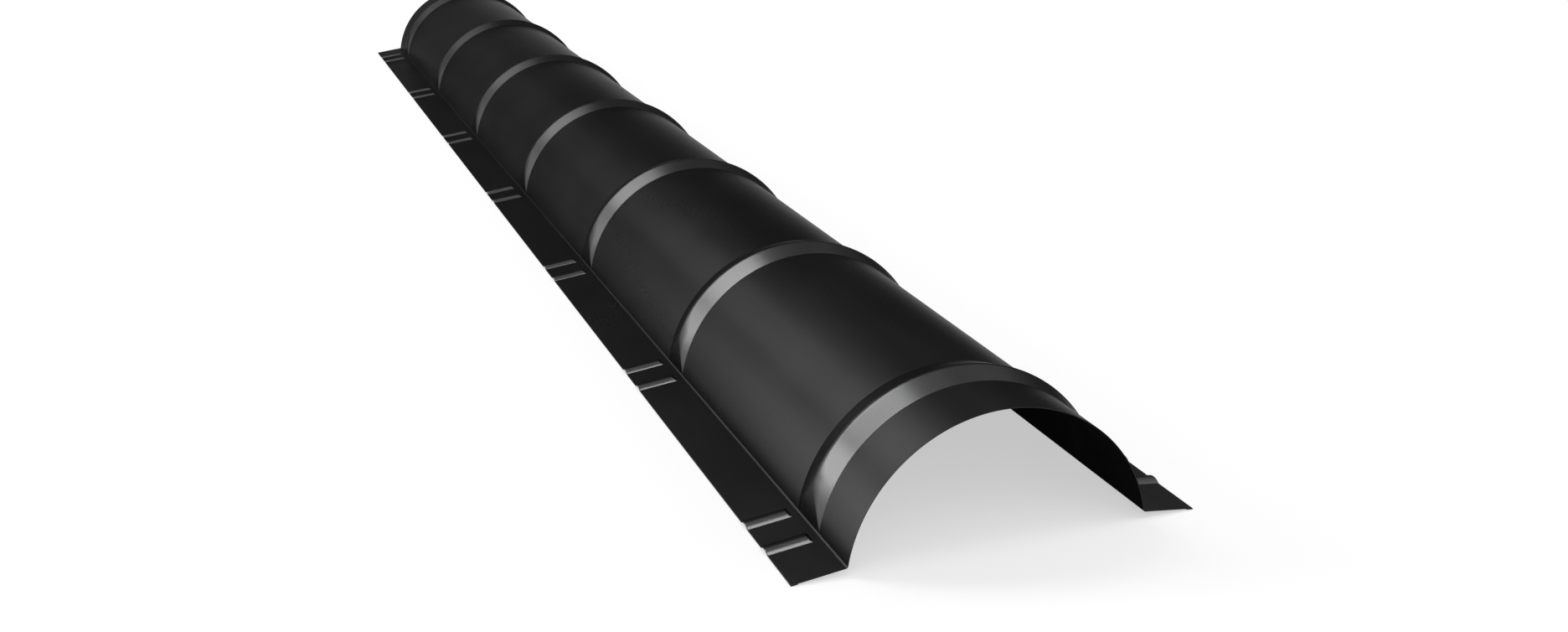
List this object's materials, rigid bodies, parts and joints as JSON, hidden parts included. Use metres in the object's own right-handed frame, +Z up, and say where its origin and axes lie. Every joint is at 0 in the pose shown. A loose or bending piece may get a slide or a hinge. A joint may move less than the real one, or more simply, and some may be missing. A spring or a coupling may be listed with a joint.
{
  "type": "ridge cap",
  "caption": "Half-round sheet-steel roof ridge cap, a two metre length with raised cross ribs and hemmed side flanges, for covering the ridge of a pitched roof.",
  "frame": {"origin": "middle of the footprint, on the level of the hems that the cap lies on", "axes": "+Y along the ridge, +X across the cap, +Z up out of the barrel's crown"},
  "size_m": [0.295, 2, 0.1028],
  "materials": {
    "coated_steel": "matte black polymer coating on galvanised sheet"
  },
  "bodies": {
    "root": {"ridge_cap": "coated_steel"}
  },
  "joints": []
}
